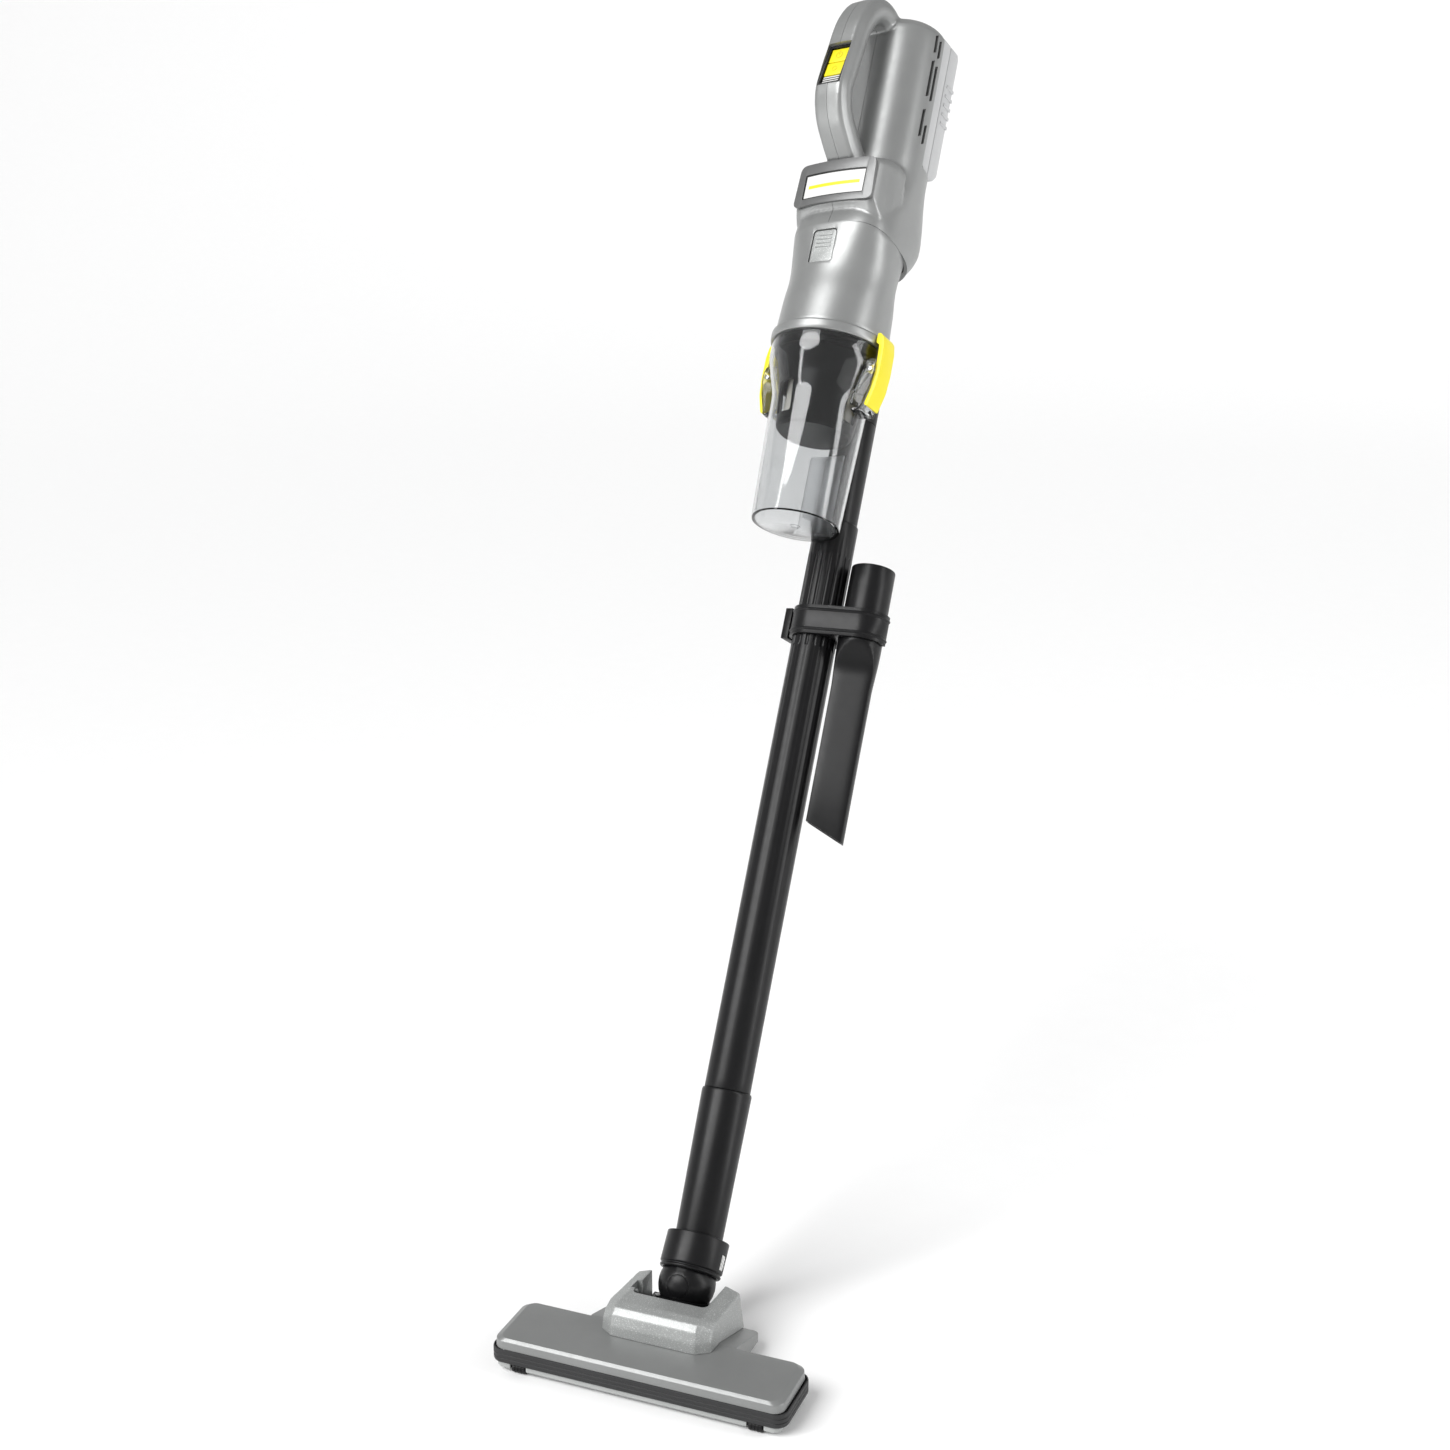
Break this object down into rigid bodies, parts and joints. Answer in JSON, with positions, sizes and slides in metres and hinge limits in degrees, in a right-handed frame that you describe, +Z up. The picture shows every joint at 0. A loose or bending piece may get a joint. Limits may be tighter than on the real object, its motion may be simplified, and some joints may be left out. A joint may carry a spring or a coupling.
{
  "type": "cordless stick vacuum",
  "caption": "Upright cordless stick vacuum: wide floor nozzle on a ball neck, leaning tube with a clipped crevice tool, clear dust cup, loop handle with two buttons and a rear battery.",
  "frame": {"origin": "on the floor, under the middle of the sole's rear glide strip, which is the mount named sole", "axes": "+Z up; +X along the nozzle, to the right when seen from its front; -Y towards the nozzle's front; the stick leans back towards +Y"},
  "size_m": [0.2454, 0.6767, 1.0375],
  "materials": {
    "body_gray": "satin silver-gray",
    "light_gray": "satin light silver",
    "cover_gray": "satin gray",
    "sole_gray": "satin light gray",
    "black_plastic": "satin black, fine grain",
    "band_plastic": "matte dark gray",
    "black_rubber": "matte black",
    "yellow_plastic": "satin yellow",
    "white_plastic": "satin white",
    "clear_plastic": "clear, slightly smoky",
    "frosted_plastic": "pale gray",
    "steel": "brushed",
    "copper_winding": "wound copper and laminations",
    "board_green": "matte green",
    "filter_paper": "pleated paper",
    "cell_blue": "shrink film",
    "bristle": "fine bristle"
  },
  "bodies": {
    "hand_unit": {"housing_left": "body_gray", "housing_right": "body_gray", "handle": "body_gray", "filter_housing": "body_gray", "housing_ring": "body_gray", "name_plate": "body_gray", "label": "white_plastic", "button_panel": "black_plastic", "indicator_strips": "white_plastic", "housing_screw_1": "steel", "housing_screw_2": "steel", "suction_tube": "black_plastic", "inlet_elbow": "black_plastic", "filter_basket": "black_plastic", "pleated_filter": "filter_paper", "cup_gasket": "black_rubber", "circuit_board": "board_green", "fan_cover": "black_plastic", "motor_can": "steel", "motor_mount": "black_rubber", "battery_rail": "black_plastic"},
    "rotor": {"impeller": "white_plastic", "motor_core": "copper_winding"},
    "power_button": {"power_button": "yellow_plastic"},
    "boost_button": {"boost_button": "yellow_plastic"},
    "release_button": {"release_button": "light_gray"},
    "battery": {"battery_base": "frosted_plastic", "battery_cover": "frosted_plastic", "cell_pack": "cell_blue"},
    "battery_button": {"battery_button": "frosted_plastic"},
    "cup": {"dust_cup": "clear_plastic", "cup_baffle": "clear_plastic", "latch_pin_left": "steel", "latch_pin_right": "steel"},
    "latch_left": {"latch_left": "yellow_plastic"},
    "latch_right": {"latch_right": "yellow_plastic"},
    "wand": {"wand_tube": "black_plastic", "wand_seal": "black_rubber"},
    "clip": {"tool_clip": "black_plastic", "clip_tab": "black_plastic"},
    "crevice_tool": {"crevice_tool": "black_plastic"},
    "sleeve": {"lower_sleeve": "black_plastic"},
    "neck": {"ball_elbow": "black_plastic", "elbow_cap": "black_plastic", "swivel_collar": "black_plastic", "lock_slider": "white_plastic"},
    "nozzle": {"nozzle_cover": "cover_gray", "bumper_band": "band_plastic", "sole_plate": "sole_gray", "neck_cover": "light_gray", "ball_cradle": "black_plastic", "air_duct": "black_plastic", "rear_glide_strip": "black_rubber", "front_glide_strip": "black_rubber", "rear_bristle_strip": "bristle", "front_bristle_strip": "bristle"},
    "front_roller_left": {"front_roller_left": "black_plastic"},
    "front_roller_right": {"front_roller_right": "black_plastic"},
    "rear_wheel_left": {"rear_wheel_left": "black_rubber"},
    "rear_wheel_right": {"rear_wheel_right": "black_rubber"}
  },
  "joints": [
    {"name": "rotor_spin", "type": "hinge", "parent": "hand_unit", "child": "rotor", "pos_m": [-0.01497, 0.47705, 0.83541], "axis": [0, 0.5126, 0.8586], "continuous": true},
    {"name": "power_press", "type": "slide", "parent": "hand_unit", "child": "power_button", "axis": [0.262, 0.7097, -0.654], "range_m": [0, 0.0018], "stiffness_N_per_m": 400, "springref_m": -0.0005},
    {"name": "boost_press", "type": "slide", "parent": "hand_unit", "child": "boost_button", "axis": [0.262, 0.7097, -0.654], "range_m": [0, 0.0018], "stiffness_N_per_m": 400, "springref_m": -0.0005},
    {"name": "release_press", "type": "slide", "parent": "hand_unit", "child": "release_button", "axis": [0.2672, 0.8274, -0.494], "range_m": [0, 0.002], "stiffness_N_per_m": 400, "springref_m": -0.0005},
    {"name": "battery_slide", "type": "slide", "parent": "hand_unit", "child": "battery", "axis": [0, 0.5126, 0.8586], "range_m": [0, 0.08]},
    {"name": "battery_button_press", "type": "slide", "parent": "battery", "child": "battery_button", "axis": [0, -0.5126, -0.8586], "range_m": [0, 0.0022], "stiffness_N_per_m": 400, "springref_m": -0.0005},
    {"name": "cup_slide", "type": "slide", "parent": "hand_unit", "child": "cup", "axis": [0, -0.5126, -0.8586], "range_m": [0, 0.05]},
    {"name": "latch_left_swing", "type": "hinge", "parent": "cup", "child": "latch_left", "pos_m": [-0.06665, 0.41875, 0.71589], "axis": [-0.2672, -0.8274, 0.494], "range_deg": [0, 12], "stiffness_Nm_per_rad": 0.4, "springref_deg": -5.73},
    {"name": "latch_right_swing", "type": "hinge", "parent": "cup", "child": "latch_right", "pos_m": [0.03511, 0.39452, 0.73036], "axis": [0.2672, 0.8274, -0.494], "range_deg": [0, 12], "stiffness_Nm_per_rad": 0.4, "springref_deg": -5.73},
    {"name": "wand_slide", "type": "slide", "parent": "hand_unit", "child": "wand", "axis": [0, -0.5126, -0.8586], "range_m": [0, 0.05]},
    {"name": "clip_turn", "type": "hinge", "parent": "wand", "child": "clip", "pos_m": [0, 0.35062, 0.51839], "axis": [0, 0.5126, 0.8586], "range_deg": [-60, 60]},
    {"name": "crevice_tool_slide", "type": "slide", "parent": "clip", "child": "crevice_tool", "axis": [0, -0.5126, -0.8586], "range_m": [0, 0.08]},
    {"name": "sleeve_slide", "type": "slide", "parent": "wand", "child": "sleeve", "axis": [0, -0.5126, -0.8586], "range_m": [0, 0.045]},
    {"name": "neck_turn", "type": "hinge", "parent": "sleeve", "child": "neck", "pos_m": [0, 0.0595, 0.0442], "axis": [0, 0.6561, 0.7547], "range_deg": [-90, 90]},
    {"name": "neck_tilt", "type": "hinge", "parent": "neck", "child": "nozzle", "pos_m": [0, 0.0595, 0.0442], "axis": [1, 0, 0], "range_deg": [-30, 44]},
    {"name": "front_roller_left_spin", "type": "hinge", "parent": "nozzle", "child": "front_roller_left", "pos_m": [-0.0987, -0.0402, 0.004], "axis": [1, 0, 0], "continuous": true},
    {"name": "rear_wheel_left_spin", "type": "hinge", "parent": "nozzle", "child": "rear_wheel_left", "pos_m": [-0.048, 0.042, 0.008], "axis": [1, 0, 0], "continuous": true},
    {"name": "front_roller_right_spin", "type": "hinge", "parent": "nozzle", "child": "front_roller_right", "pos_m": [0.0987, -0.0402, 0.004], "axis": [1, 0, 0], "continuous": true},
    {"name": "rear_wheel_right_spin", "type": "hinge", "parent": "nozzle", "child": "rear_wheel_right", "pos_m": [0.048, 0.042, 0.008], "axis": [1, 0, 0], "continuous": true}
  ]
}
